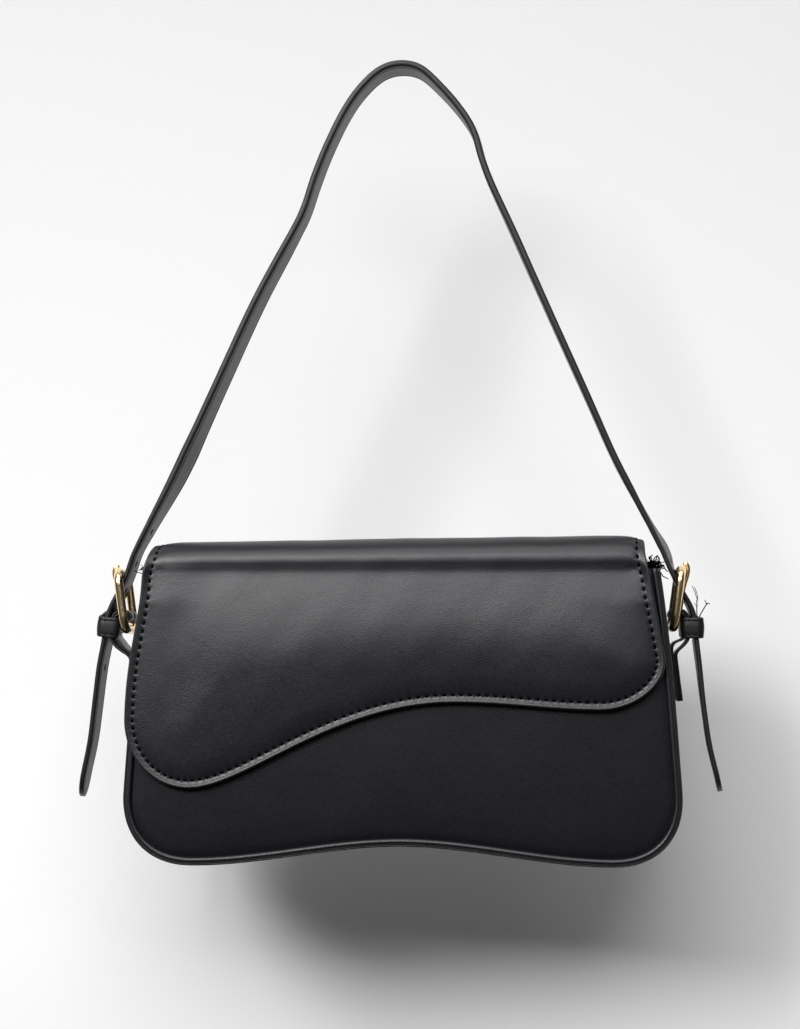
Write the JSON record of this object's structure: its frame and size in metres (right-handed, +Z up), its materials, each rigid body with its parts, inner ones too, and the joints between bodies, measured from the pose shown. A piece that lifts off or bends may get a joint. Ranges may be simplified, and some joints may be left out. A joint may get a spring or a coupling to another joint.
{
  "type": "baguette bag",
  "caption": "Long low shoulder bag of black imitation leather with a wavy flap, hanging by a buckled strap.",
  "frame": {"origin": "underside of the strap at its highest point, where a hook holds it", "axes": "+X to the right as seen from the front, +Y from the front to the back, +Z up along the hanging bag"},
  "size_m": [0.3047, 0.0608, 0.3845],
  "materials": {
    "leather": "satin",
    "strap_leather": "satin",
    "lining": "matte",
    "board": "matte",
    "gold_metal": "polished",
    "zip_tape": "matte"
  },
  "bodies": {
    "strap": {"shoulder_strap": "strap_leather", "loop_left": "strap_leather", "loop_right": "strap_leather", "keeper_left": "strap_leather", "keeper_right": "strap_leather"},
    "bag": {"front_panel": "leather", "back_panel": "leather", "gusset": "leather", "piping_front": "leather", "piping_back": "leather", "lining": "lining", "tab_left": "strap_leather", "tab_right": "strap_leather", "flap_seam": "leather", "zip_end_left": "zip_tape", "zip_end_right": "zip_tape", "snap_socket": "gold_metal"},
    "flap_roll": {"flap_top": "leather"},
    "flap_front": {"flap_face": "leather", "flap_board": "board", "flap_lining": "lining", "snap_stud": "gold_metal"},
    "left_buckle": {"buckle_left": "gold_metal"},
    "right_buckle": {"buckle_right": "gold_metal"},
    "left_prong": {"prong_left": "gold_metal"},
    "right_prong": {"prong_right": "gold_metal"},
    "front_zip": {"zip_tape_front": "zip_tape", "zip_teeth_front": "gold_metal"},
    "back_zip": {"zip_tape_back": "zip_tape", "zip_teeth_back": "gold_metal"},
    "slider": {"zip_slider": "gold_metal"},
    "pull": {"zip_pull": "gold_metal"}
  },
  "joints": [
    {"name": "bag_swing", "type": "hinge", "parent": "strap", "child": "bag", "pos_m": [0, 0, -0.286], "axis": [1, 0, 0], "range_deg": [-60, 60]},
    {"name": "flap_lift", "type": "hinge", "parent": "bag", "child": "flap_roll", "pos_m": [0, 0.029, -0.2429], "axis": [-1, 0, 0], "range_deg": [0, 12]},
    {"name": "flap_fold", "type": "hinge", "parent": "flap_roll", "child": "flap_front", "pos_m": [0, -0.0318, -0.2442], "axis": [-1, 0, 0], "range_deg": [0, 135]},
    {"name": "left_buckle_pivot", "type": "hinge", "parent": "strap", "child": "left_buckle", "pos_m": [-0.13158, 0, -0.2647], "axis": [0, -1, 0], "range_deg": [0, 3]},
    {"name": "right_buckle_pivot", "type": "hinge", "parent": "strap", "child": "right_buckle", "pos_m": [0.13028, 0, -0.264], "axis": [0, 1, 0], "range_deg": [0, 3]},
    {"name": "left_prong_pivot", "type": "hinge", "parent": "left_buckle", "child": "left_prong", "pos_m": [-0.13158, 0, -0.2647], "axis": [0, -1, 0], "range_deg": [0, 3]},
    {"name": "right_prong_pivot", "type": "hinge", "parent": "right_buckle", "child": "right_prong", "pos_m": [0.13028, 0, -0.264], "axis": [0, 1, 0], "range_deg": [0, 3]},
    {"name": "front_zip_fold", "type": "hinge", "parent": "bag", "child": "front_zip", "pos_m": [0, -0.024, -0.2439], "axis": [-1, 0, 0], "range_deg": [0, 80]},
    {"name": "back_zip_fold", "type": "hinge", "parent": "bag", "child": "back_zip", "pos_m": [0, 0.024, -0.2439], "axis": [-1, 0, 0], "range_deg": [-80, 0]},
    {"name": "zip_slide", "type": "slide", "parent": "bag", "child": "slider", "axis": [-1, 0, 0], "range_m": [0, 0.208]},
    {"name": "pull_hinge", "type": "hinge", "parent": "slider", "child": "pull", "pos_m": [0.1045, 0, -0.2404], "axis": [0, 1, 0], "range_deg": [0, 15]}
  ],
  "couplings": [
    {"joint": "flap_lift", "follows": "flap_fold", "ratio": 0.088889},
    {"joint": "back_zip_fold", "follows": "front_zip_fold", "ratio": -1}
  ]
}
